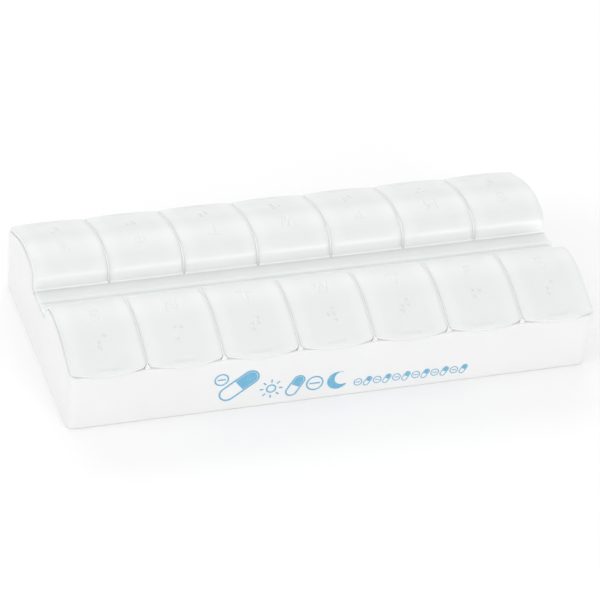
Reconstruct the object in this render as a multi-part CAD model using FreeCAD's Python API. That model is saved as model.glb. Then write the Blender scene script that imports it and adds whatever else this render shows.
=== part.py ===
import FreeCAD, Part
import math
import os

V = FreeCAD.Vector

# Travel pill organizer: a two-row tray with fourteen compartments, closed by
# fourteen arched lids that hang on a central spine by moulded living hinges.
# Millimetres. +X runs along the length, +Y to the back row, +Z up, and the
# origin is under the middle of the tray, on the surface that it stands on.
# The object is the same after half a turn about Z, so each sub-part is drawn
# for the back row (u = distance from the centre line = +y) and turned for the
# front row.

DAYS = ["sun", "mon", "tue", "wed", "thu", "fri", "sat"]

# driving dimensions
LENGTH = 210.0            # tray, outside, at the top
DEPTH = 95.0              # tray, outside, at the top
CREST_HEIGHT = 33.6       # highest line of the lids
DRAFT = 0.8               # how far each outer wall leans in at the bottom
CORNER_RADIUS = 3.0       # vertical corners of the tray

OUTER_WALL = 2.0
DIVIDER = 1.6
FLOOR = 2.0
SCOOP_RADIUS = 8.0        # finger scoop along the outer side of each compartment
INNER_SCOOP_RADIUS = 4.5  # along the side next to the spine
POCKET_RADIUS = 1.5       # other inside corners of a compartment

LID_THICKNESS = 1.2
LID_GAP = 0.7             # between neighbouring lids
LID_INSET = 0.9           # end lids stand in from the tray's end faces
LID_CLEARANCE = 0.25      # closed lid above the walls it covers

# lid section, from the hinge outwards
HINGE_FACE_U = 7.8        # hinge-side wall of the lid, at its foot
HINGE_FACE_LEAN = 15.0    # degrees, that wall leans outwards
HINGE_FILLET = 7.5        # rounding between that wall and the crown
WALL_FILLET = 6.0         # the same rounding on the walls under it
CREST_U = 21.0
CROWN_RADIUS = 38.0
TAIL_ANGLE = 22.0         # degrees below level, straight stretch to the edge
LID_CORNER_U = 46.4       # outer edge of a lid, at its corners
LID_TAB_U = 48.6          # outer edge of a lid, at the middle of its thumb tab
LID_CORNER_RADIUS = 1.3
CATCH_U = 44.2            # closing rib under the lid, just inside the outer wall
CATCH_THICKNESS = 1.0
CATCH_LENGTH = 22.0
CATCH_DEPTH = 1.8

# spine and living hinges
SPINE_HALF_WIDTH = 7.0
SPINE_THICKNESS = 1.4
SPINE_BOTTOM = 23.2
RIDGE_HALF_WIDTH = 1.2
RIDGE_HEIGHT = 0.8
WEB_THICKNESS = 0.35
WEB_DROP = 0.05           # web's top face below the spine's top face
SHOULDER_Z = 24.0         # tray, under the feet of the lids
SHOULDER_U = 7.2          # the recess that holds the spine ends here
PEG_RADIUS = 1.5
PEG_HOLE_RADIUS = 1.6
PEG_HEAD_RADIUS = 1.95
PEG_TIP_RADIUS = 1.2
PEG_HEAD_HEIGHT = 1.4
PEG_PLAY = 0.15           # between a peg's head and the deck
DECK = 1.6                # plate under the spine
CHANNEL_RIB = 2.0         # cross ribs in the open channel under the spine

TOP_EDGE_RADIUS = 0.8
FOOT_EDGE_RADIUS = 0.5

# derived
LIDS_PER_ROW = len(DAYS)
LID_WIDTH = (LENGTH - 2 * LID_INSET - (LIDS_PER_ROW - 1) * LID_GAP) / LIDS_PER_ROW
PITCH = LID_WIDTH + LID_GAP
SPINE_TOP = SPINE_BOTTOM + SPINE_THICKNESS
WEB_TOP = SPINE_TOP - WEB_DROP
WEB_BOTTOM = WEB_TOP - WEB_THICKNESS
LEAN = math.radians(HINGE_FACE_LEAN)
TAIL = math.radians(TAIL_ANGLE)
CROWN_CENTRE_Z = CREST_HEIGHT - CROWN_RADIUS
WALL_TOP_OFFSET = LID_THICKNESS + LID_CLEARANCE
POCKET_INNER_U = HINGE_FACE_U + WALL_TOP_OFFSET / math.cos(LEAN)
POCKET_OUTER_U = DEPTH / 2 - OUTER_WALL
CHANNEL_HALF_WIDTH = POCKET_INNER_U - DIVIDER
DECK_BOTTOM = SPINE_BOTTOM - DECK
OVERCUT = 1.0                 # a cut or an outline runs this far past what it meets
ABOVE = CREST_HEIGHT + 10.0   # clear above everything
BELOW = -OVERCUT              # clear under everything
TINY = 0.01                   # two places nearer than this are the same


def at(u, z):
    """A point of the cross-section, in the plane x = 0."""
    return V(0, u, z)


def line(a, b):
    return Part.LineSegment(a, b).toShape()


def arc(a, middle, b):
    return Part.Arc(a, middle, b).toShape()


def crown_point(radius, angle):
    """A point of the crown, angle in radians from the crest towards the edge."""
    return at(CREST_U + radius * math.sin(angle), CROWN_CENTRE_Z + radius * math.cos(angle))


def shell_edges(offset, fillet, foot_z, end_u):
    """The lid's outer line moved inwards by offset: hinge wall, rounding, crown and tail.

    It starts at height foot_z on the hinge wall and ends at distance end_u.
    """
    foot_u = HINGE_FACE_U + offset / math.cos(LEAN) + (foot_z - WEB_BOTTOM) * math.tan(LEAN)
    radius = CROWN_RADIUS - offset
    # centre of the rounding: `fillet` from the wall line, radius - fillet from the crown's centre
    start_u = foot_u + fillet * math.cos(LEAN) - CREST_U
    start_z = foot_z - fillet * math.sin(LEAN) - CROWN_CENTRE_Z
    along = start_u * math.sin(LEAN) + start_z * math.cos(LEAN)
    beyond = start_u ** 2 + start_z ** 2 - (radius - fillet) ** 2
    run = -along + math.sqrt(along ** 2 - beyond)
    centre_u = CREST_U + start_u + run * math.sin(LEAN)
    centre_z = CROWN_CENTRE_Z + start_z + run * math.cos(LEAN)
    wall_end = at(centre_u - fillet * math.cos(LEAN), centre_z + fillet * math.sin(LEAN))
    crown_start = math.atan2(centre_u - CREST_U, centre_z - CROWN_CENTRE_Z)
    # the rounding turns from facing along the wall's normal to facing along the crown's
    facing = ((LEAN - math.pi / 2) + crown_start) / 2
    fillet_middle = at(centre_u + fillet * math.sin(facing), centre_z + fillet * math.cos(facing))
    tail_start = crown_point(radius, TAIL)
    tail_end = at(end_u, tail_start.z - (end_u - tail_start.y) * math.tan(TAIL))
    return [
        line(at(foot_u, foot_z), wall_end),
        arc(wall_end, fillet_middle, crown_point(radius, crown_start)),
        arc(crown_point(radius, crown_start), crown_point(radius, (crown_start + TAIL) / 2), tail_start),
        line(tail_start, tail_end),
    ]


def end_points(edges):
    """First and last point of a run of edges."""
    return edges[0].valueAt(edges[0].FirstParameter), edges[-1].valueAt(edges[-1].LastParameter)


def along_x(edges, length):
    """A closed outline in the plane x = 0, drawn out to both sides of it."""
    outline = Part.Wire(Part.__sortEdges__(edges))
    outline.translate(V(-length / 2, 0, 0))
    return Part.Face(outline).extrude(V(length, 0, 0))


def box(x0, x1, y0, y1, z0, z1):
    return Part.makeBox(x1 - x0, y1 - y0, z1 - z0, V(x0, y0, z0))


def turned(shape):
    """The same thing in the other row."""
    copy = shape.copy()
    copy.rotate(V(0, 0, 0), V(0, 0, 1), 180)
    return copy


def lid_centre(index):
    """Centre of a front-row lid, counted from the left; the back row counts from the right."""
    return (index - (LIDS_PER_ROW - 1) / 2) * PITCH


# ---------------------------------------------------------------- tray

def rounded_rectangle(length, depth, radius, z):
    plate = Part.makePlane(length, depth, V(-length / 2, -depth / 2, z)).extrude(V(0, 0, 1))
    uprights = [e for e in plate.Edges if abs(e.tangentAt(e.FirstParameter).z) > 0.9]
    rounded = plate.makeFillet(radius, uprights)
    bottom = min(rounded.Faces, key=lambda f: f.CenterOfMass.z)
    return bottom.OuterWire


def tray_block():
    """The drafted outside of the tray, taller than it needs to be."""
    lean_per_mm = DRAFT / CREST_HEIGHT
    grow = 2 * lean_per_mm * ABOVE
    foot = rounded_rectangle(LENGTH - 2 * DRAFT, DEPTH - 2 * DRAFT, CORNER_RADIUS, 0)
    top = rounded_rectangle(LENGTH - 2 * DRAFT + grow, DEPTH - 2 * DRAFT + grow, CORNER_RADIUS, ABOVE)
    return Part.makeLoft([foot, top], True, True)


def tray_top_half():
    """Edges of the tray's top line for one row, from the centre outwards."""
    covered = shell_edges(WALL_TOP_OFFSET, WALL_FILLET, SHOULDER_Z, DEPTH / 2 + OVERCUT)
    foot, end = end_points(covered)
    recess = [
        line(at(0, SPINE_BOTTOM), at(SHOULDER_U, SPINE_BOTTOM)),
        line(at(SHOULDER_U, SPINE_BOTTOM), at(SHOULDER_U, SHOULDER_Z)),
        line(at(SHOULDER_U, SHOULDER_Z), foot),
    ]
    return recess + covered, end


def below_top_line():
    """Everything under the tray's top line, in both rows."""
    edges, end = tray_top_half()
    closing = [
        line(end, at(end.y, BELOW)),
        line(at(end.y, BELOW), at(0, BELOW)),
        line(at(0, BELOW), at(0, SPINE_BOTTOM)),
    ]
    half = along_x(edges + closing, LENGTH + 2 * OVERCUT)
    return half.fuse(turned(half)).removeSplitter()


def pocket(x0, x1):
    """The space of one back-row compartment, up past the top of the tray."""
    shape = box(x0, x1, POCKET_INNER_U, POCKET_OUTER_U, FLOOR, ABOVE)
    floor_edges = [e for e in shape.Edges if e.CenterOfMass.z < FLOOR + TINY]
    outer = [e for e in floor_edges if e.CenterOfMass.y > POCKET_OUTER_U - TINY]
    shape = shape.makeFillet(SCOOP_RADIUS, outer)
    inner = [
        e for e in shape.Edges
        if e.CenterOfMass.z < FLOOR + TINY and e.CenterOfMass.y < POCKET_INNER_U + TINY
    ]
    shape = shape.makeFillet(INNER_SCOOP_RADIUS, inner)
    sides = [
        e for e in shape.Edges
        if e.CenterOfMass.z < ABOVE - TINY and (e.BoundBox.XMax < x0 + TINY or e.BoundBox.XMin > x1 - TINY)
    ]
    return shape.makeFillet(POCKET_RADIUS, sides)


def pocket_spans():
    """Low and high x of each compartment, from the left."""
    spans = []
    for index in range(LIDS_PER_ROW):
        low = lid_centre(index) - PITCH / 2 + DIVIDER / 2
        high = lid_centre(index) + PITCH / 2 - DIVIDER / 2
        if index == 0:
            low = -LENGTH / 2 + OUTER_WALL
        if index == LIDS_PER_ROW - 1:
            high = LENGTH / 2 - OUTER_WALL
        spans.append((low, high))
    return spans


def channel():
    """The open channel under the spine, with cross ribs left standing in line with the dividers."""
    cells = []
    for low, high in pocket_spans():
        spare = (CHANNEL_RIB - DIVIDER) / 2
        cells.append(box(
            low + spare, high - spare, -CHANNEL_HALF_WIDTH, CHANNEL_HALF_WIDTH, BELOW, DECK_BOTTOM
        ))
    return Part.makeCompound(cells)


def peg_centres():
    """Every second lid's centre has a peg under the spine."""
    return [lid_centre(index) for index in range(0, LIDS_PER_ROW, 2)]


def peg_holes():
    depth = DECK + 2 * OVERCUT
    return Part.makeCompound([
        Part.makeCylinder(PEG_HOLE_RADIUS, depth, V(x, 0, DECK_BOTTOM - OVERCUT)) for x in peg_centres()
    ])


def round_outside(shape):
    """Round the top outer edges and the foot of the tray."""
    margin = DRAFT + CORNER_RADIUS + TINY

    def on_outside(edge):
        bounds = edge.BoundBox
        same_end = bounds.XMin * bounds.XMax > 0
        same_side = bounds.YMin * bounds.YMax > 0
        far_out_x = min(abs(bounds.XMin), abs(bounds.XMax)) > LENGTH / 2 - margin
        far_out_y = min(abs(bounds.YMin), abs(bounds.YMax)) > DEPTH / 2 - margin
        return (same_end and far_out_x) or (same_side and far_out_y)

    foot = [e for e in shape.Edges if e.BoundBox.ZMax < TINY and on_outside(e)]
    shape = shape.makeFillet(FOOT_EDGE_RADIUS, foot)
    lowest_top = SPINE_BOTTOM - TOP_EDGE_RADIUS
    top = [e for e in shape.Edges if e.BoundBox.ZMin > lowest_top and on_outside(e)]
    return shape.makeFillet(TOP_EDGE_RADIUS, top)


def base_tray():
    shape = round_outside(tray_block().common(below_top_line()))
    for low, high in pocket_spans():
        cut = pocket(low, high)
        shape = shape.cut(cut)
        shape = shape.cut(turned(cut))
    return shape.cut(channel()).cut(peg_holes())


# ---------------------------------------------------------------- spine and hinges

def hinge_spine():
    ridge_top = at(0, SPINE_TOP + RIDGE_HEIGHT)
    section = [
        line(at(-SPINE_HALF_WIDTH, SPINE_BOTTOM), at(SPINE_HALF_WIDTH, SPINE_BOTTOM)),
        line(at(SPINE_HALF_WIDTH, SPINE_BOTTOM), at(SPINE_HALF_WIDTH, SPINE_TOP)),
        line(at(SPINE_HALF_WIDTH, SPINE_TOP), at(RIDGE_HALF_WIDTH, SPINE_TOP)),
        arc(at(RIDGE_HALF_WIDTH, SPINE_TOP), ridge_top, at(-RIDGE_HALF_WIDTH, SPINE_TOP)),
        line(at(-RIDGE_HALF_WIDTH, SPINE_TOP), at(-SPINE_HALF_WIDTH, SPINE_TOP)),
        line(at(-SPINE_HALF_WIDTH, SPINE_TOP), at(-SPINE_HALF_WIDTH, SPINE_BOTTOM)),
    ]
    shape = along_x(section, LENGTH - 2 * LID_INSET)
    head_top = DECK_BOTTOM - PEG_PLAY
    for x in peg_centres():
        peg = Part.makeCylinder(PEG_RADIUS, SPINE_TOP - head_top, V(x, 0, head_top))
        tip = V(x, 0, head_top - PEG_HEAD_HEIGHT)
        head = Part.makeCone(PEG_TIP_RADIUS, PEG_HEAD_RADIUS, PEG_HEAD_HEIGHT, tip)
        shape = shape.fuse(peg.fuse(head))
    return shape.removeSplitter()


def hinge_web():
    """The thin strip that bends when a back-row lid is opened, centred on x = 0."""
    half = LID_WIDTH / 2
    return box(-half, half, SPINE_HALF_WIDTH, HINGE_FACE_U, WEB_BOTTOM, WEB_TOP)


# ---------------------------------------------------------------- lids

def lid_outline():
    """Plan of a back-row lid: square at the hinge, bowed out to a thumb tab at the edge."""
    half = LID_WIDTH / 2
    hinge_u = HINGE_FACE_U - OVERCUT
    edges = [
        line(V(-half, hinge_u, 0), V(half, hinge_u, 0)),
        line(V(half, hinge_u, 0), V(half, LID_CORNER_U, 0)),
        arc(V(half, LID_CORNER_U, 0), V(0, LID_TAB_U, 0), V(-half, LID_CORNER_U, 0)),
        line(V(-half, LID_CORNER_U, 0), V(-half, hinge_u, 0)),
    ]
    prism = Part.Face(Part.Wire(edges)).extrude(V(0, 0, ABOVE))
    corners = [
        e for e in prism.Edges
        if abs(e.tangentAt(e.FirstParameter).z) > 0.9 and e.CenterOfMass.y > LID_CORNER_U - 0.1
    ]
    return prism.makeFillet(LID_CORNER_RADIUS, corners)


def lid():
    """A closed back-row lid, centred on x = 0."""
    outside = shell_edges(0, HINGE_FILLET, WEB_BOTTOM, LID_TAB_U + OVERCUT)
    inside = shell_edges(LID_THICKNESS, HINGE_FILLET - LID_THICKNESS, WEB_BOTTOM, LID_TAB_U + OVERCUT)
    outer_foot, outer_end = end_points(outside)
    inner_foot, inner_end = end_points(inside)
    closing = [line(outer_end, inner_end), line(inner_foot, outer_foot)]
    shape = along_x(outside + inside + closing, LID_WIDTH).common(lid_outline())
    underside = crown_point(CROWN_RADIUS - LID_THICKNESS, TAIL)
    catch_top = underside.z - (CATCH_U + CATCH_THICKNESS - underside.y) * math.tan(TAIL)
    half = CATCH_LENGTH / 2
    catch = box(
        -half, half, CATCH_U, CATCH_U + CATCH_THICKNESS, catch_top - CATCH_DEPTH, catch_top + LID_THICKNESS
    )
    return shape.fuse(catch).removeSplitter()


# ---------------------------------------------------------------- files

def moved(shape, x):
    copy = shape.copy()
    copy.translate(V(x, 0, 0))
    return copy


def write(name, shape):
    solids = shape.Solids
    print(name, "solids", len(solids), "valid", shape.isValid(), "volume mm3", round(shape.Volume, 1))
    shape = solids[0] if len(solids) == 1 else shape
    shape.exportStep(os.path.join("parts", name + ".step"))


os.makedirs("parts", exist_ok=True)
write("base_tray", base_tray())
write("hinge_spine", hinge_spine())
back_lid = lid()
back_web = hinge_web()
for number, day in enumerate(DAYS):
    place = lid_centre(number)
    write("lid_front_" + day, moved(turned(back_lid), place))
    write("lid_back_" + day, moved(back_lid, -place))
    write("hinge_web_front_" + day, moved(turned(back_web), place))
    write("hinge_web_back_" + day, moved(back_web, -place))
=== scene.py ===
import math

import bpy
import numpy as np
from mathutils import Matrix, Vector


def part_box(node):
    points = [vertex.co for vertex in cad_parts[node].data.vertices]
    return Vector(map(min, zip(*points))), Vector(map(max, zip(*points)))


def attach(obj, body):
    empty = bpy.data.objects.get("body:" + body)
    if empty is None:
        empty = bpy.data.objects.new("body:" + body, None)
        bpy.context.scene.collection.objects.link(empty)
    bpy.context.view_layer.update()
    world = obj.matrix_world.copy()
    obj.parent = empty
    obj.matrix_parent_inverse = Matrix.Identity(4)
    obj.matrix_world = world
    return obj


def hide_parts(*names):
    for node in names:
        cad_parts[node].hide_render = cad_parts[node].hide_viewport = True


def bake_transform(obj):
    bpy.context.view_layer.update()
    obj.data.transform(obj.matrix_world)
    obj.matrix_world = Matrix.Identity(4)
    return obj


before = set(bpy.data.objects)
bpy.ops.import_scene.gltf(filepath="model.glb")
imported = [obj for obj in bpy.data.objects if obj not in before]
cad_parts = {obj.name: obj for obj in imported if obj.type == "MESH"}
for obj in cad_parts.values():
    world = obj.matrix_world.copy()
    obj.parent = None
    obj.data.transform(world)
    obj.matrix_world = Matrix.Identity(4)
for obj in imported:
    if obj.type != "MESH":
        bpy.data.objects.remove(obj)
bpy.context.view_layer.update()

# Travel pill organizer: a white tray, a translucent spine and fourteen translucent lids.
# Sizes are in millimetres and meshes are scaled to metres as they are made. A lid is drawn for
# the back row (u = distance from the centre line = +y) about x = 0, and turned for the front row.

MM = 0.001
DAYS = ["sun", "mon", "tue", "wed", "thu", "fri", "sat"]

# lid section, as in the CAD lids
LID_THICKNESS = 1.2
HINGE_FACE_LEAN = math.radians(15.0)
HINGE_FILLET = 7.5
CREST_U = 21.0
CREST_HEIGHT = 33.6
CROWN_RADIUS = 38.0
TAIL_ANGLE = math.radians(22.0)
LID_CORNER_U = 46.4
LID_CORNER_RADIUS = 1.3

# closing rib under a lid, as in the CAD lids
CATCH_U = 44.2
CATCH_THICKNESS = 1.0
CATCH_LENGTH = 22.0
CATCH_DEPTH = 1.8
CATCH_ROOT = 0.5          # it runs this far up into the lid ...
CATCH_SHORT = 0.05        # ... and is this much shorter than in CAD

# edge rounding of a lid: how wide it is, and how far the face falls away
TAB_ROUND = (0.35, 0.3)
SIDE_ROUND = (0.7, 0.25)
HINGE_SIDE_ROUND = (1.8, 0.5)     # the side edges are rounder where the lid turns down to the hinge
INNER_ROUND = (0.2, 0.2)
CROWN_LEAD = 2.0          # from hinge side to crown they change from here before the fillet's end ...
CROWN_BLEND = 6.0         # ... over this length

# painted light and shade of a lid, which is opaque here: painted light stands in for the white tray
# close behind it and lightens the hinge foot, and the rim share is painted shade along its edges. How
# light the hinge foot is was chosen, not measured.
PAINTED_LIGHT_FROM = 1.8         # full from here in from the side ...
PAINTED_LIGHT_TO = 7.5           # ... fading out by here
PAINTED_LIGHT_FADE = 4.5
PAINTED_LIGHT_SIDE = 0.16        # share along the sides; it is 1 at the hinge foot
PAINTED_LIGHT_FOOT = 6.4         # length of that brighter foot, of which the last part fades
PAINTED_LIGHT_FOOT_FADE = 3.0
# painted shade along a lid's edges: at its sides, wider where it turns down to the hinge, and at its
# tab
EDGE_SHADE_WIDTH = 1.3
HINGE_EDGE_SHADE_WIDTH = 2.4
HINGE_EDGE_SHADE_SHARE = 0.4
TAB_EDGE_SHADE_WIDTH = 0.7
TAB_EDGE_SHADE_FULL = 0.3        # share of that width that is at the full rim colour

# living hinges
WEB_TUCK = 0.25           # each strip runs this far into the spine and the lid
WEB_STEPS = 14
WEB_COLUMNS = 25
WEB_SIDE_GAP = 0.05       # each strip is this much narrower than its lid, on each side
WEB_RISE_U = 7.4          # from here its top curves up into the lid's wall
WEB_RISE = 0.4

# letter, Braille cell and thumb mark
LETTER_U = 21.6
LETTER_HEIGHT = 0.26
LETTER_STROKE = 0.85
LETTER_SOFT = 0.28
BRAILLE_U = 35.1
BRAILLE_PITCH = 2.55
DOT_RADIUS = 0.8
DOT_HEIGHT = 0.4
# painted shade on the Braille dots: how far out it reaches, and how it fades
DOT_SHADE_REACH = 1.15    # the dots are coloured darker, out to this many radii
DOT_SHADE_FADE = 0.35
THUMB_FROM_EDGE = 2.5
THUMB_HALF_LENGTH = 4.4
THUMB_HALF_WIDTH = 0.75
THUMB_DEPTH = 0.4

# mesh steps along and across a lid, finer about the letter and the Braille cell
FINE_STEP = 0.2
FINE_HALF_WIDTH = 3.6
LETTER_ROWS = (17.9, 25.3)
BRAILLE_ROWS = (31.4, 38.9)
WALL_STEP = 1.5
FILLET_STEP = 0.3
PLAIN_STEP = 0.9
PLAIN_STEP_ACROSS = 1.1
SIDE_STEPS = (0, 0.03, 0.09, 0.18, 0.3, 0.46, 0.66, 0.9, 1.2, 1.6, 2.2, 3.0)    # from the side edge
TAB_SHARES = (0.14, 0.28, 0.4, 0.5, 0.58, 0.65, 0.72, 0.79, 0.86, 0.92, 0.955, 0.98, 0.993, 1.0)

# white crests on the tray's dividers, standing up in the gaps between the lids
DIVIDER_CREST_WIDTH = 0.62
DIVIDER_CREST_SUNK = 0.24    # their top below the lids' outer line
DIVIDER_CREST_HINGE_SUNK = 0.12
DIVIDER_CREST_ROOT = 1.75    # they start inside the dividers
DIVIDER_CREST_END_U = 46.95
DIVIDER_CREST_CLEARANCE = 0.12    # to the lids' rounded corners, where each side widens ...
DIVIDER_CREST_FLARE = 0.85        # ... by up to this much
DIVIDER_CREST_TOP = ((-1, 0.2), (-0.6, 0.04), (0, 0), (0.6, 0.04), (1, 0.2))    # share of half, drop
CREST_FOOT_GAP = 0.05        # foot of a crest: clear of the spine and below the strips' top by this,
CREST_FOOT_DEPTH = 0.3       # down past the lids' foot
CREST_FOOT_REACH = 0.4       # and outwards past it

# tray's front wall
TRAY_DEPTH = 95.0
DRAFT = 0.8
TRAY_EDGE = 0.8           # radius its edges are shaded with


def box_mm(node):
    low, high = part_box(node)
    return low / MM, high / MM


LID_LOW, LID_HIGH = box_mm("lid_back_wed")
WEB_LOW, WEB_HIGH = box_mm("hinge_web_back_wed")
LID_WIDTH = LID_HIGH.x - LID_LOW.x
FOOT_U = LID_LOW.y        # where a lid's outer line starts, at its hinge foot
FOOT_Z = WEB_LOW.z
TAB_U = LID_HIGH.y        # tip of the bowed thumb tab


# ---------------------------------------------------------------- camera, lights, floor

CAMERA_AIM = Vector((-0.0018, -0.0074, 0.0169))
CAMERA_DISTANCE = 1.392
CAMERA_AZIMUTH = math.radians(21.785)
CAMERA_ELEVATION = math.radians(37.29)
CAMERA_ROLL = math.radians(6.79)
CAMERA_LENS = 216.17
CAMERA_SENSOR = 36.0


def add_camera():
    forward = Vector((
        math.sin(CAMERA_AZIMUTH) * math.cos(CAMERA_ELEVATION),
        math.cos(CAMERA_AZIMUTH) * math.cos(CAMERA_ELEVATION),
        -math.sin(CAMERA_ELEVATION),
    ))
    level = forward.cross(Vector((0, 0, 1))).normalized()
    upright = level.cross(forward)
    right = level * math.cos(CAMERA_ROLL) + upright * math.sin(CAMERA_ROLL)
    up = upright * math.cos(CAMERA_ROLL) - level * math.sin(CAMERA_ROLL)
    data = bpy.data.cameras.new("camera")
    data.lens = CAMERA_LENS
    data.sensor_width = CAMERA_SENSOR
    data.clip_start = 0.05
    camera = bpy.data.objects.new("camera", data)
    camera.matrix_world = Matrix.Translation(CAMERA_AIM - forward * CAMERA_DISTANCE) @ Matrix((
        (right.x, up.x, -forward.x, 0),
        (right.y, up.y, -forward.y, 0),
        (right.z, up.z, -forward.z, 0),
        (0, 0, 0, 1),
    ))
    bpy.context.scene.collection.objects.link(camera)
    bpy.context.scene.camera = camera


WORLD_STRENGTH = 0.83

# (name, place, aim, size, power). The low strip draws the bright line along the back lids'
# shoulders and also lights the front wall.
LIGHTS = [
    ("front", (0.2, -1.4, 0.95), (0, 0, 0), (2.0, 1.1), 1.9),
    ("low_strip", (0.43, -1.35, 0.28), (0, 0, 0.03), (0.7, 0.13), 3.65),
    ("left", (-1.4, -0.2, 0.7), (0, 0, 0), (1.0, 1.0), 4.9),
    ("back", (0.0, 1.3, 1.0), (0, 0.35, 0), (2.0, 0.8), 5.3),
]


def add_area_light(name, place, aim, size, power):
    data = bpy.data.lights.new(name, "AREA")
    data.shape = "RECTANGLE"
    data.size = size[0]
    data.size_y = size[1]
    data.energy = power
    light = bpy.data.objects.new(name, data)
    light.location = place
    light.rotation_euler = (Vector(aim) - Vector(place)).to_track_quat("-Z", "Y").to_euler()
    bpy.context.scene.collection.objects.link(light)


def add_world():
    """A bright tent: white overhead, greyer towards the horizon."""
    world = bpy.data.worlds.new("tent")
    world.use_nodes = True
    nodes = world.node_tree.nodes
    links = world.node_tree.links
    coordinates = nodes.new("ShaderNodeTexCoord")
    split = nodes.new("ShaderNodeSeparateXYZ")
    ramp = nodes.new("ShaderNodeValToRGB")
    ramp.color_ramp.elements[0].position = 0.0
    ramp.color_ramp.elements[0].color = (0.93, 0.94, 0.94, 1)
    ramp.color_ramp.elements[1].position = 0.75
    ramp.color_ramp.elements[1].color = (1, 1, 1, 1)
    links.new(coordinates.outputs["Generated"], split.inputs[0])
    links.new(split.outputs["Z"], ramp.inputs[0])
    links.new(ramp.outputs[0], nodes["Background"].inputs["Color"])
    nodes["Background"].inputs["Strength"].default_value = WORLD_STRENGTH
    bpy.context.scene.world = world


FLOOR_HALF = 3.0
FLOOR_DROP = 0.00005      # keeps it a hair below the tray's underside


def add_floor():
    half = FLOOR_HALF
    mesh = bpy.data.meshes.new("floor")
    corners = [(-half, -half, 0), (half, -half, 0), (half, half, 0), (-half, half, 0)]
    mesh.from_pydata(corners, [], [(0, 1, 2, 3)])
    floor = bpy.data.objects.new("floor", mesh)
    floor.location.z = -FLOOR_DROP
    bpy.context.scene.collection.objects.link(floor)
    material = new_material("floor", (0.97, 0.97, 0.97), 0.7)
    mesh.materials.append(material)


# ---------------------------------------------------------------- materials

PLASTIC_IOR = 1.49        # polypropylene
LID_IOR = 1.58            # set higher than the plastic's own, for a stronger highlight


def new_material(name, colour, roughness, ior=1.5):
    material = bpy.data.materials.new(name)
    material.use_nodes = True
    shader = material.node_tree.nodes["Principled BSDF"]
    shader.inputs["Base Color"].default_value = (*colour, 1)
    shader.inputs["Roughness"].default_value = roughness
    shader.inputs["IOR"].default_value = ior
    return material


def scatter(material, scale):
    """Gives the material a half share of subsurface scattering, over this many metres."""
    shader = material.node_tree.nodes["Principled BSDF"]
    shader.inputs["Subsurface Weight"].default_value = 0.5
    shader.inputs["Subsurface Radius"].default_value = (1, 1, 1)
    shader.inputs["Subsurface Scale"].default_value = scale


def noise(material, scale, detail):
    """A noise pattern fixed to the object, scale in patterns per metre."""
    nodes = material.node_tree.nodes
    coordinates = nodes.new("ShaderNodeTexCoord")
    texture = nodes.new("ShaderNodeTexNoise")
    texture.inputs["Scale"].default_value = scale
    texture.inputs["Detail"].default_value = detail
    material.node_tree.links.new(coordinates.outputs["Object"], texture.inputs["Vector"])
    return texture.outputs["Fac"]


def vary_colour(material, pattern, first, second):
    """Lets the colour wander between two that are close to each other."""
    nodes = material.node_tree.nodes
    ramp = nodes.new("ShaderNodeValToRGB")
    ramp.color_ramp.elements[0].position = 0.35
    ramp.color_ramp.elements[0].color = (*first, 1)
    ramp.color_ramp.elements[1].position = 0.65
    ramp.color_ramp.elements[1].color = (*second, 1)
    material.node_tree.links.new(pattern, ramp.inputs[0])
    material.node_tree.links.new(ramp.outputs[0], nodes["Principled BSDF"].inputs["Base Color"])
    return ramp.outputs[0]


def blend_by_share(material, colour, share_name, other):
    """Blend to another colour by a share that is stored point by point in the mesh."""
    nodes = material.node_tree.nodes
    links = material.node_tree.links
    share = nodes.new("ShaderNodeAttribute")
    share.attribute_name = share_name
    mix = nodes.new("ShaderNodeMix")
    mix.data_type = "RGBA"
    links.new(share.outputs["Fac"], mix.inputs["Factor"])
    links.new(colour, mix.inputs["A"])
    mix.inputs["B"].default_value = (*other, 1)
    links.new(mix.outputs["Result"], nodes["Principled BSDF"].inputs["Base Color"])
    return mix.outputs["Result"]


def vary_roughness(material, pattern, low, high):
    nodes = material.node_tree.nodes
    spread = nodes.new("ShaderNodeMapRange")
    spread.inputs["From Min"].default_value = 0.3
    spread.inputs["From Max"].default_value = 0.7
    spread.inputs["To Min"].default_value = low
    spread.inputs["To Max"].default_value = high
    material.node_tree.links.new(pattern, spread.inputs["Value"])
    material.node_tree.links.new(spread.outputs[0], nodes["Principled BSDF"].inputs["Roughness"])


def bump(material, patterns, edge_radius=0):
    """Stacked bumps, each (pattern, depth in metres), over edges shaded as rounded by edge_radius."""
    nodes = material.node_tree.nodes
    links = material.node_tree.links
    below = None
    if edge_radius:
        bevel = nodes.new("ShaderNodeBevel")
        bevel.samples = 6
        bevel.inputs["Radius"].default_value = edge_radius
        below = bevel.outputs["Normal"]
    for pattern, depth in patterns:
        node = nodes.new("ShaderNodeBump")
        node.inputs["Distance"].default_value = depth
        links.new(pattern, node.inputs["Height"])
        if below is not None:
            links.new(below, node.inputs["Normal"])
        below = node.outputs["Normal"]
    links.new(below, nodes["Principled BSDF"].inputs["Normal"])


def tray_material(name, first, second):
    """Opaque white polypropylene with a faint mould grain; its sharp edges are shaded as rounded."""
    material = new_material(name, first, 0.36, PLASTIC_IOR)
    vary_colour(material, noise(material, 45, 3), first, second)
    vary_roughness(material, noise(material, 160, 4), 0.3, 0.42)
    grain, waves = noise(material, 1400, 2), noise(material, 60, 2)
    bump(material, [(grain, 0.000004), (waves, 0.00006)], TRAY_EDGE * MM)
    return material


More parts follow.
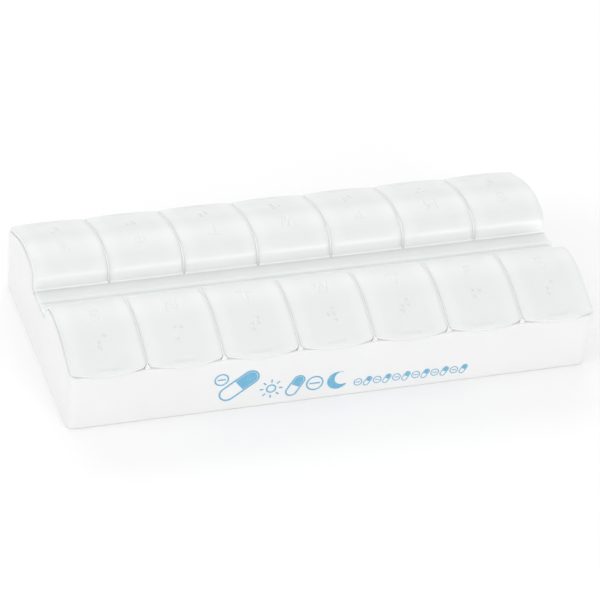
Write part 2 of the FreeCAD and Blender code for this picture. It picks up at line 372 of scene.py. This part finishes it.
def lid_material():
    """Frosted natural polypropylene, pale grey-green: no light passes through it in the render.

    Scattering softens it. The tones stored in the mesh are painted light and shade: painted light where
    the white tray is close behind and at the hinge foot, painted shade along the edges and on the
    Braille dots.
    """
    material = new_material("lid_translucent", (0.82, 0.84, 0.83), 0.32, LID_IOR)
    scatter(material, 0.0015)
    colour = vary_colour(material, noise(material, 70, 3), (0.789, 0.802, 0.795), (0.801, 0.813, 0.806))
    # painted light: lighter where the white tray is taken to be close behind, and at the hinge foot
    colour = blend_by_share(material, colour, "painted_light", (0.962, 0.978, 0.97))
    # painted shade on the Braille dots
    colour = blend_by_share(material, colour, "dots", (0.7, 0.72, 0.71))
    # painted shade along the lid's edges
    blend_by_share(material, colour, "rim", (0.738, 0.753, 0.746))
    vary_roughness(material, noise(material, 220, 4), 0.3, 0.34)
    bump(material, [(noise(material, 1400, 2), 0.000003), (noise(material, 90, 2), 0.00005)])
    return material


def spine_material():
    """The lids' plastic as a thick strip: light scatters further, from a slightly lighter colour."""
    material = new_material("spine_translucent", (0.8, 0.83, 0.815), 0.38, PLASTIC_IOR)
    scatter(material, 0.003)
    vary_colour(material, noise(material, 70, 3), (0.808, 0.838, 0.826), (0.828, 0.856, 0.843))
    vary_roughness(material, noise(material, 220, 4), 0.34, 0.42)
    bump(material, [(noise(material, 1400, 2), 0.000003), (noise(material, 90, 2), 0.00004)], 0.0003)
    return material


def web_material():
    """The thin hinge strips: opaque, with a nearly white colour that is painted light, standing in for
    the white tray showing through.
    """
    material = new_material("web_painted_light", (0.93, 0.95, 0.94), 0.35, PLASTIC_IOR)
    vary_colour(material, noise(material, 70, 3), (0.925, 0.945, 0.935), (0.945, 0.965, 0.955))
    vary_roughness(material, noise(material, 220, 4), 0.31, 0.38)
    bump(material, [(noise(material, 1400, 2), 0.000003)])
    return material


def print_material():
    """Sky-blue pad-printing ink, slightly uneven."""
    material = new_material("print_blue", (0.14, 0.42, 0.68), 0.5)
    vary_colour(material, noise(material, 900, 4), (0.125, 0.385, 0.59), (0.175, 0.445, 0.64))
    vary_roughness(material, noise(material, 1500, 3), 0.45, 0.6)
    bump(material, [(noise(material, 4000, 2), 0.000006)])
    return material


# ---------------------------------------------------------------- meshes

SHARP_ANGLE = math.radians(42.0)    # faces that meet at more than this keep a sharp edge


def new_piece(name, points_mm, faces, material):
    mesh = bpy.data.meshes.new(name)
    mesh.from_pydata((np.asarray(points_mm) * MM).tolist(), [], faces)
    mesh.validate()
    mesh.polygons.foreach_set("use_smooth", [True] * len(mesh.polygons))
    mesh.set_sharp_from_angle(angle=SHARP_ANGLE)
    mesh.materials.append(material)
    piece = bpy.data.objects.new(name, mesh)
    bpy.context.scene.collection.objects.link(piece)
    return piece


def store_shares(piece, name, shares):
    """Stores a value from 0 to 1 at every point of a piece, for its material."""
    attribute = piece.data.attributes.new(name, "FLOAT", "POINT")
    attribute.data.foreach_set("value", shares)


def smooth_step(t):
    t = np.clip(t, 0, 1)
    return t * t * (3 - 2 * t)


def between(first, second, share):
    return first + (second - first) * share


class Section:
    """The lid's outer line as a function of the length along it, from the hinge foot outwards."""

    def __init__(self):
        lean, fillet, radius = HINGE_FACE_LEAN, HINGE_FILLET, CROWN_RADIUS
        self.crown_z = CREST_HEIGHT - radius
        start_u = FOOT_U + fillet * math.cos(lean) - CREST_U
        start_z = FOOT_Z - fillet * math.sin(lean) - self.crown_z
        along = start_u * math.sin(lean) + start_z * math.cos(lean)
        beyond = start_u ** 2 + start_z ** 2 - (radius - fillet) ** 2
        run = -along + math.sqrt(along ** 2 - beyond)
        self.fillet_u = CREST_U + start_u + run * math.sin(lean)
        self.fillet_z = self.crown_z + start_z + run * math.cos(lean)
        self.crown_start = math.atan2(self.fillet_u - CREST_U, self.fillet_z - self.crown_z)
        self.fillet_start = lean - math.pi / 2
        self.wall_end = run
        self.fillet_end = run + fillet * (self.crown_start - self.fillet_start)
        self.crown_end = self.fillet_end + radius * (TAIL_ANGLE - self.crown_start)
        self.tail_u = CREST_U + radius * math.sin(TAIL_ANGLE)
        self.tail_z = self.crown_z + radius * math.cos(TAIL_ANGLE)

    def at(self, s):
        """Places (u, z) and outward normals (u, z) for an array of lengths."""
        facing = np.full_like(s, self.fillet_start)
        u = FOOT_U + s * math.sin(HINGE_FACE_LEAN)
        z = FOOT_Z + s * math.cos(HINGE_FACE_LEAN)
        on = s > self.wall_end
        facing = np.where(on, self.fillet_start + (s - self.wall_end) / HINGE_FILLET, facing)
        u = np.where(on, self.fillet_u + HINGE_FILLET * np.sin(facing), u)
        z = np.where(on, self.fillet_z + HINGE_FILLET * np.cos(facing), z)
        on = s > self.fillet_end
        facing = np.where(on, self.crown_start + (s - self.fillet_end) / CROWN_RADIUS, facing)
        u = np.where(on, CREST_U + CROWN_RADIUS * np.sin(facing), u)
        z = np.where(on, self.crown_z + CROWN_RADIUS * np.cos(facing), z)
        on = s > self.crown_end
        facing = np.where(on, TAIL_ANGLE, facing)
        u = np.where(on, self.tail_u + (s - self.crown_end) * math.cos(TAIL_ANGLE), u)
        z = np.where(on, self.tail_z - (s - self.crown_end) * math.sin(TAIL_ANGLE), z)
        return u, z, np.sin(facing), np.cos(facing)

    def crown_share(self, s):
        """0 on the hinge wall and 1 on the crown, with a soft change before the fillet's end."""
        return smooth_step((s - self.fillet_end + CROWN_LEAD) / CROWN_BLEND)

    def length_to(self, u):
        """Length along the line to distance u, on the crown or the tail."""
        u = np.asarray(u, float)
        crown = self.fillet_end + CROWN_RADIUS * (
            np.arcsin(np.clip((u - CREST_U) / CROWN_RADIUS, -1, 1)) - self.crown_start
        )
        tail = self.crown_end + (u - self.tail_u) / math.cos(TAIL_ANGLE)
        return np.where(u > self.tail_u, tail, crown)


def circle_arc(centre, radius, first, last, count=24):
    """Points on a circle, angles in degrees."""
    angles = np.radians(np.linspace(first, last, count))
    return np.c_[centre[0] + radius * np.cos(angles), centre[1] + radius * np.sin(angles)]


def letter_strokes(letter):
    """Strokes of a day letter, centred, upright, about 6.4 mm tall with its stroke."""
    top, side, bowl = 2.8, 2.2, 1.45
    if letter == "S":
        upper = circle_arc((0, bowl), bowl, 25, 270)
        lower = circle_arc((0, -bowl), bowl, 90, -155)
        return [np.vstack([upper, lower])]
    if letter == "M":
        return [np.array([(-side, -top), (-side, top), (0, -top / 2), (side, top), (side, -top)])]
    if letter == "T":
        return [np.array([(-side, top), (side, top)]), np.array([(0, top), (0, -top)])]
    if letter == "W":
        half = side / 2 + 0.35
        return [np.array([(-2 * half, top), (-half, -top), (0, top), (half, -top), (2 * half, top)])]
    if letter == "F":
        return [
            np.array([(-1.5, -top), (-1.5, top), (1.9, top)]),
            np.array([(-1.5, 0.2), (1.4, 0.2)]),
        ]
    raise ValueError(letter)


BRAILLE = {"S": (2, 3, 4), "M": (1, 3, 4), "T": (2, 3, 4, 5), "W": (2, 4, 5, 6), "F": (1, 2, 4)}


def distance_to_strokes(a, b, strokes):
    nearest = np.full(a.shape, 1e9)
    for stroke in strokes:
        for start, end in zip(stroke[:-1], stroke[1:]):
            run = end - start
            along = ((a - start[0]) * run[0] + (b - start[1]) * run[1]) / (run @ run)
            along = np.clip(along, 0, 1)
            reach = np.hypot(a - start[0] - along * run[0], b - start[1] - along * run[1])
            nearest = np.minimum(nearest, reach)
    return nearest


def distance_to_dots(x, s, section, letter):
    """Distance to the centre of the nearest dot of the letter's Braille cell."""
    centre_s = section.length_to(BRAILLE_U)
    nearest = np.full(x.shape, 1e9)
    for dot in BRAILLE[letter]:
        column = -0.5 if dot <= 3 else 0.5
        row = (dot - 1) % 3 - 1
        reach = np.hypot(-x - column * BRAILLE_PITCH, s - centre_s - row * BRAILLE_PITCH)
        nearest = np.minimum(nearest, reach)
    return nearest


def embossing(x, s, section, edge_distance, dot_distance, letter):
    """Height added to the outer face. With the hinge at the top, a back lid's -x is to the right."""
    letter_s = section.length_to(LETTER_U)
    distance = distance_to_strokes(-x, letter_s - s, letter_strokes(letter))
    inside = LETTER_STROKE / 2 + LETTER_SOFT - distance
    height = LETTER_HEIGHT * smooth_step(inside / (2 * LETTER_SOFT))
    height += DOT_HEIGHT * np.sqrt(np.clip(1 - (dot_distance / DOT_RADIUS) ** 2, 0, 1))
    dip = np.exp(-((edge_distance - THUMB_FROM_EDGE) / THUMB_HALF_WIDTH) ** 2)
    height -= THUMB_DEPTH * dip * smooth_step((THUMB_HALF_LENGTH - np.abs(x)) / 2 + 0.5)
    return height


def rounding(distance, width, drop):
    """How far a rounded edge falls away at this distance from it."""
    inside = np.clip(1 - distance / width, 0, 1)
    return drop * (1 - np.sqrt(1 - inside ** 2))


def edge_drop(section, s, edge_distance, side_distance):
    """How far the outer face falls away along its sides and its tab."""
    crown = section.crown_share(s)
    width = between(HINGE_SIDE_ROUND[0], SIDE_ROUND[0], crown)
    drop = between(HINGE_SIDE_ROUND[1], SIDE_ROUND[1], crown)
    return np.maximum(rounding(side_distance, width, drop), rounding(edge_distance, *TAB_ROUND))


def graded(stops):
    """Places from (start, end, step) stretches, without repeats."""
    values = []
    for start, end, step in stops:
        count = max(1, round(abs(end - start) / step))
        values.extend(np.linspace(start, end, count + 1).tolist())
    return np.array(sorted(set(round(v, 4) for v in values)))


def lid_columns():
    half = LID_WIDTH / 2
    rim = [half - step for step in SIDE_STEPS]
    side = graded([
        (0, FINE_HALF_WIDTH, FINE_STEP),
        (FINE_HALF_WIDTH, half - SIDE_STEPS[-1], PLAIN_STEP_ACROSS),
    ])
    side = np.array(sorted(set(np.round(np.r_[side, rim], 4))))
    return np.r_[-side[:0:-1], side]


def lid_rows(section):
    """Lengths along the section up to where the outer edge starts to bow, then shares of the rest."""
    letter_start, letter_end = section.length_to(LETTER_ROWS)
    braille_start, braille_end = section.length_to(BRAILLE_ROWS)
    fixed = graded([
        (0, section.wall_end, WALL_STEP),
        (section.wall_end, section.fillet_end, FILLET_STEP),
        (section.fillet_end, letter_start, PLAIN_STEP),
        (letter_start, letter_end, FINE_STEP),
        (letter_end, braille_start, PLAIN_STEP),
        (braille_start, braille_end, FINE_STEP),
    ])
    return fixed, np.array(TAB_SHARES)


def outer_edge(x):
    """Distance u of the lid's outer edge: a bow between the corners, with rounded corners."""
    half = LID_WIDTH / 2
    rise = TAB_U - LID_CORNER_U
    radius = (half ** 2 + rise ** 2) / (2 * rise)
    bow = TAB_U - radius + np.sqrt(radius ** 2 - x ** 2)
    into_corner = np.clip(np.abs(x) - (half - LID_CORNER_RADIUS), 0, LID_CORNER_RADIUS)
    return bow - (LID_CORNER_RADIUS - np.sqrt(LID_CORNER_RADIUS ** 2 - into_corner ** 2))


def grid_faces(rows, columns, first=0, flipped=False):
    faces = []
    for j in range(rows - 1):
        for i in range(columns - 1):
            a = first + j * columns + i
            quad = (a, a + 1, a + columns + 1, a + columns)
            faces.append(quad[::-1] if flipped else quad)
    return faces


def rim_loop(rows, columns):
    """The border of a grid, once round."""
    bottom = list(range(columns))
    right = [j * columns + columns - 1 for j in range(1, rows)]
    top = [(rows - 1) * columns + i for i in range(columns - 2, -1, -1)]
    left = [j * columns for j in range(rows - 2, 0, -1)]
    return bottom + right + top + left


def shell_faces(rows, columns):
    """Faces of a thin shell: a grid of outer points, a like grid of inner ones, and the rim between."""
    count = rows * columns
    faces = grid_faces(rows, columns) + grid_faces(rows, columns, count, flipped=True)
    loop = rim_loop(rows, columns)
    for a, b in zip(loop, loop[1:] + loop[:1]):
        faces.append((b, a, a + count, b + count))
    return faces


def tube_faces(rings, n):
    """Faces of a closed tube of rings with n points each, with its two ends."""
    faces = []
    for j in range(rings - 1):
        for i in range(n):
            a, b = j * n + i, j * n + (i + 1) % n
            faces.append((a, b, b + n, a + n))
    faces.append(tuple(range(n))[::-1])
    faces.append(tuple(range((rings - 1) * n, rings * n)))
    return faces


def shifted(faces, count):
    """Faces moved on by count points."""
    return [tuple(i + count for i in face) for face in faces]


def lid_shell(letter):
    """A closed shell (outer face with embossing, plain inner face, rim between) and its shares."""
    section = Section()
    x = lid_columns()
    fixed, shares = lid_rows(section)
    end = section.length_to(outer_edge(x))
    last = fixed[-1]
    s = np.vstack([
        np.repeat(fixed[:, None], len(x), axis=1),
        last + shares[:, None] * (end - last)[None, :],
    ])
    x = np.repeat(x[None, :], len(s), axis=0)
    edge_distance = end[None, :] - s
    side_distance = LID_WIDTH / 2 - np.abs(x)
    u, z, normal_u, normal_z = section.at(s)
    dot_distance = distance_to_dots(x, s, section, letter)
    border = np.minimum(edge_distance, side_distance)
    raised = embossing(x, s, section, edge_distance, dot_distance, letter)
    raised -= edge_drop(section, s, edge_distance, side_distance)
    sunk = LID_THICKNESS - rounding(border, *INNER_ROUND)
    outer = np.stack([x, u + normal_u * raised, z + normal_z * raised], axis=-1).reshape(-1, 3)
    inner = np.stack([x, u - normal_u * sunk, z - normal_z * sunk], axis=-1).reshape(-1, 3)
    # the foot of the shell is cut level, like the CAD lid's
    columns = x.shape[1]
    inner[:columns, 1] += (FOOT_Z - inner[:columns, 2]) * math.tan(HINGE_FACE_LEAN)
    inner[:columns, 2] = FOOT_Z
    shares = lid_shares(section, s, edge_distance, side_distance, dot_distance)
    return np.vstack([outer, inner]), shell_faces(len(s), columns), shares


def lid_shares(section, s, edge_distance, side_distance, dot_distance):
    """Shares of the painted light (tray close behind, hinge foot) and of the painted shade along the
    rims and on the dots, outer points then inner.
    """
    # painted light along the sides and at the hinge foot
    side = smooth_step((PAINTED_LIGHT_TO - side_distance) / PAINTED_LIGHT_FADE)
    side = side * smooth_step(side_distance / PAINTED_LIGHT_FROM)
    foot = smooth_step((PAINTED_LIGHT_FOOT - s) / PAINTED_LIGHT_FOOT_FADE)
    crown = section.crown_share(s)
    width = between(HINGE_EDGE_SHADE_WIDTH, EDGE_SHADE_WIDTH, crown)
    # painted shade along the sides and along the tab edge
    side_shade = smooth_step(1 - side_distance / width) * between(HINGE_EDGE_SHADE_SHARE, 1, crown)
    tab_shade = smooth_step(1 + TAB_EDGE_SHADE_FULL - edge_distance / TAB_EDGE_SHADE_WIDTH)
    shares = {
        "painted_light": np.maximum(PAINTED_LIGHT_SIDE * side, foot),
        "rim": np.maximum(side_shade, tab_shade),
        "dots": smooth_step((DOT_RADIUS * DOT_SHADE_REACH - dot_distance) / DOT_SHADE_FADE),
    }
    return {name: np.tile(values.reshape(-1), 2) for name, values in shares.items()}


def catch_rib():
    """The closing rib under the lid, just inside the tray's outer wall, with rounded ends and foot."""
    section = Section()
    _, top_z, _, _ = section.at(section.length_to([CATCH_U + CATCH_THICKNESS]))
    top = float(top_z[0]) - LID_THICKNESS / math.cos(TAIL_ANGLE) + CATCH_ROOT
    foot = top - CATCH_ROOT - CATCH_DEPTH + CATCH_SHORT
    half = CATCH_LENGTH / 2
    round_foot = CATCH_THICKNESS / 2
    outline = [(CATCH_U, top), (CATCH_U, foot + round_foot)]
    for angle in np.linspace(math.pi, 2 * math.pi, 7)[1:-1]:
        outline.append((
            CATCH_U + round_foot + round_foot * math.cos(angle),
            foot + round_foot + round_foot * math.sin(angle),
        ))
    outline += [(CATCH_U + CATCH_THICKNESS, foot + round_foot), (CATCH_U + CATCH_THICKNESS, top)]
    # towards its ends the rib gets thinner and shallower
    end = [(half, 0.35), (half - 0.2, 0.8), (half - 0.5, 1)]
    stations = [(-place, share) for place, share in end] + end[::-1]
    middle = CATCH_U + CATCH_THICKNESS / 2
    points = []
    for place, share in stations:
        for u, z in outline:
            points.append((place, middle + (u - middle) * share, top - (top - z) * (0.6 + 0.4 * share)))
    return np.array(points, float), tube_faces(len(stations), len(outline))


def lid_place(row, day):
    """Centre x of a lid in millimetres."""
    low, high = box_mm("lid_" + row + "_" + day)
    return (low.x + high.x) / 2


def in_row(points, row, centre):
    """Moves points drawn for the back row about x = 0 to their place."""
    turn = -1 if row == "front" else 1
    return np.asarray(points) * (turn, turn, 1) + (centre, 0, 0)


def add_lid(row, day, material):
    shell, faces, shares = lid_shell(day[0].upper())
    rib, rib_faces = catch_rib()
    points = in_row(np.vstack([shell, rib]), row, lid_place(row, day))
    faces += shifted(rib_faces, len(shell))
    body = "lid_" + row + "_" + day
    piece = new_piece("moulded_" + body, points, faces, material)
    for name, values in shares.items():
        store_shares(piece, name, np.r_[values, np.zeros(len(rib))])
    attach(piece, body)
    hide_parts(body)


def add_hinge(row, day, material):
    """The living hinge: a thin strip between the spine and the lid's foot."""
    across = np.linspace(WEB_LOW.y - WEB_TUCK, WEB_HIGH.y + WEB_TUCK, WEB_STEPS + 1)
    rise = np.clip((across - WEB_RISE_U) / (across[-1] - WEB_RISE_U), 0, 1) ** 2 * WEB_RISE
    half = LID_WIDTH / 2 - WEB_SIDE_GAP
    along = np.linspace(-half, half, WEB_COLUMNS)
    top = [(x, u, WEB_HIGH.z + up) for u, up in zip(across, rise) for x in along]
    bottom = [(x, u, WEB_LOW.z) for u in across for x in along]
    faces = shell_faces(len(across), len(along))
    centre = lid_place(row, day)
    name = "hinge_web_" + row + "_" + day
    piece = new_piece("moulded_" + name, in_row(top + bottom, row, centre), faces, material)
    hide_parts(name)
    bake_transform(piece)


def divider_crest():
    """A strip along the lids' line, sunk into a gap, that widens between the lids' outer corners."""
    section = Section()
    s = np.linspace(0.3, float(section.length_to(DIVIDER_CREST_END_U)), 110)
    u, z, normal_u, normal_z = section.at(s)
    sunk = between(DIVIDER_CREST_HINGE_SUNK, DIVIDER_CREST_SUNK, section.crown_share(s))
    x = np.linspace(LID_WIDTH / 2 - LID_CORNER_RADIUS, LID_WIDTH / 2, 40)
    corner = LID_WIDTH / 2 - np.interp(u, outer_edge(x)[::-1], x[::-1])
    half = DIVIDER_CREST_WIDTH / 2 + np.clip(corner - DIVIDER_CREST_CLEARANCE, 0, DIVIDER_CREST_FLARE)
    shares, drops = zip(*DIVIDER_CREST_TOP)
    root = np.full_like(s, DIVIDER_CREST_ROOT)
    depth = np.stack([root, *(sunk + drop for drop in drops), root], axis=-1)
    points = np.stack([
        half[:, None] * np.array([-1, *shares, 1]),
        u[:, None] - normal_u[:, None] * depth,
        z[:, None] - normal_z[:, None] * depth,
    ], axis=-1).reshape(-1, 3)
    return points, tube_faces(*depth.shape)


def crest_foot():
    """A small block that ends a crest between the feet of two lids, beside the spine."""
    half = DIVIDER_CREST_WIDTH / 2
    inner, outer = WEB_LOW.y + CREST_FOOT_GAP, FOOT_U + CREST_FOOT_REACH
    bottom, top = FOOT_Z - CREST_FOOT_DEPTH, WEB_HIGH.z - CREST_FOOT_GAP
    points = [(x, u, z) for z in (bottom, top) for u in (inner, outer) for x in (-half, half)]
    faces = [(0, 2, 3, 1), (4, 5, 7, 6), (0, 1, 5, 4), (2, 6, 7, 3), (0, 4, 6, 2), (1, 3, 7, 5)]
    return points, faces


def add_divider_crests(material):
    crest, crest_faces = divider_crest()
    foot, foot_faces = crest_foot()
    crest_faces += shifted(foot_faces, len(crest))
    crest = np.vstack([crest, foot])
    points, faces = [], []
    for row in ("front", "back"):
        centres = sorted(lid_place(row, day) for day in DAYS)
        for left, right in zip(centres[:-1], centres[1:]):
            faces += shifted(crest_faces, len(points) * len(crest))
            points.append(in_row(crest, row, (left + right) / 2))
    piece = new_piece("divider_crests", np.vstack(points), faces, material)
    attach(piece, "tray")


# ---------------------------------------------------------------- printed pictograms

INK = 0.04                # thickness of the printed layer
INK_LIFT = 0.02


def ring_points(centre, radius, count=48):
    return circle_arc(centre, radius, 0, 360 * (1 - 1 / count), count)


def tilted(points, tilt):
    """Points turned anticlockwise, tilt in degrees."""
    turn = math.radians(tilt)
    return points @ np.array([[math.cos(turn), math.sin(turn)], [-math.sin(turn), math.cos(turn)]])


def stadium(centre, length, radius, tilt):
    """A capsule's outline."""
    half = length / 2 - radius
    right = circle_arc((half, 0), radius, -90, 90, 16)
    left = circle_arc((-half, 0), radius, 90, 270, 16)
    return tilted(np.vstack([right, left]), tilt) + centre


def half_stadium(centre, length, radius, tilt):
    """The right half of a capsule's outline."""
    half = length / 2 - radius
    right = circle_arc((half, 0), radius, -90, 90, 16)
    return tilted(np.vstack([[(0, -radius)], right, [(0, radius)]]), tilt) + centre


def bar(start, end, width):
    start, end = np.array(start, float), np.array(end, float)
    run = end - start
    side = np.array([-run[1], run[0]]) / np.hypot(*run) * width / 2
    return np.array([start + side, start - side, end - side, end + side])


def capsule_mark(centre, length, radius, tilt, stroke):
    """Capsule with one half filled."""
    return [
        stadium(centre, length, radius, tilt),
        stadium(centre, length - 2 * stroke, radius - stroke, tilt),
    ], [half_stadium(centre, length - 2.6 * stroke, radius - 1.3 * stroke, tilt)]


def tablet_mark(centre, radius, stroke):
    """Round tablet with its score line."""
    score = radius - 2.2 * stroke
    return [ring_points(centre, radius), ring_points(centre, radius - stroke)], [
        bar((centre[0] - score, centre[1]), (centre[0] + score, centre[1]), stroke)
    ]


def sun_mark(centre, radius, stroke):
    rays = []
    for k in range(8):
        angle = k * math.pi / 4
        direction = np.array([math.cos(angle), math.sin(angle)])
        rays.append(bar(centre + direction * radius * 0.68, centre + direction * radius, stroke))
    return [ring_points(centre, radius * 0.46), ring_points(centre, radius * 0.46 - stroke)], rays


def moon_mark(centre, radius):
    outer = circle_arc(centre, radius, 60, 330, 40)
    bite = np.array(centre) + np.array([radius * 0.42, radius * 0.24])
    first, last = outer[-1] - bite, outer[0] - bite
    reach = (np.hypot(*first) + np.hypot(*last)) / 2
    start = math.degrees(math.atan2(first[1], first[0]))
    end = math.degrees(math.atan2(last[1], last[0]))
    inner = circle_arc(bite, reach, start + 360, end, 30)
    return [], [np.vstack([outer, inner[1:-1]])]


def imprint_marks():
    """Groups of closed outlines on the front wall, x from the middle and height up the wall."""
    marks = [
        capsule_mark((-38.0, 11.5), 18.0, 3.5, 38, 0.7),
        tablet_mark((-45.2, 15.4), 2.9, 0.6),
        sun_mark(np.array((-25.0, 8.0)), 4.5, 0.62),
        capsule_mark((-15.4, 8.0), 10.6, 2.5, 62, 0.62),
        tablet_mark((-7.6, 8.0), 3.5, 0.62),
        moon_mark((1.6, 8.0), 4.2),
    ]
    for k in range(6):
        marks.append(tablet_mark((10.0 + 7.8 * k, 5.8), 1.75, 0.38))
        marks.append(capsule_mark((13.9 + 7.8 * k, 5.8), 4.8, 1.2, 62, 0.36))
    return marks


def add_imprint(material):
    curve = bpy.data.curves.new("imprint_outlines", "CURVE")
    curve.dimensions = "2D"
    curve.fill_mode = "BOTH"
    curve.extrude = INK / 2 * MM
    for hollow, solid in imprint_marks():
        for outline in hollow + solid:
            spline = curve.splines.new("POLY")
            spline.points.add(len(outline) - 1)
            for point, (a, b) in zip(spline.points, outline):
                point.co = (a * MM, b * MM, 0, 1)
            spline.use_cyclic_u = True
    drawn = bpy.data.objects.new("imprint_outlines", curve)
    bpy.context.scene.collection.objects.link(drawn)
    bpy.context.view_layer.update()
    mesh = bpy.data.meshes.new_from_object(drawn.evaluated_get(bpy.context.evaluated_depsgraph_get()))
    bpy.data.objects.remove(drawn)
    up = Vector((0, -DRAFT / CREST_HEIGHT, 1)).normalized()
    right = Vector((1, 0, 0))
    out = right.cross(up)
    foot = Vector((0, -(TRAY_DEPTH / 2 - DRAFT), 0)) + out * (INK / 2 + INK_LIFT)
    mesh.transform(Matrix((
        (right.x, up.x, out.x, foot.x * MM),
        (right.y, up.y, out.y, foot.y * MM),
        (right.z, up.z, out.z, foot.z * MM),
        (0, 0, 0, 1),
    )))
    mesh.materials.clear()
    mesh.materials.append(material)
    piece = bpy.data.objects.new("front_imprint", mesh)
    bpy.context.scene.collection.objects.link(piece)
    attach(piece, "tray")


# ---------------------------------------------------------------- build

def paint(node, material):
    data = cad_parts[node].data
    data.materials.clear()
    data.materials.append(material)


bpy.context.scene.view_settings.view_transform = "Standard"
add_camera()
add_world()
add_floor()
for light in LIGHTS:
    add_area_light(*light)
white = tray_material("tray_white", (0.785, 0.785, 0.782), (0.803, 0.803, 0.801))
natural = lid_material()
thin = web_material()
paint("base_tray", white)
paint("hinge_spine", spine_material())
for row in ("front", "back"):
    for day in DAYS:
        add_lid(row, day, natural)
        add_hinge(row, day, thin)
# the crests' white is lighter than the tray's own: painted light in the gaps between the lids
add_divider_crests(tray_material("crest_white_painted_light", (0.9, 0.9, 0.89), (0.92, 0.92, 0.91)))
add_imprint(print_material())
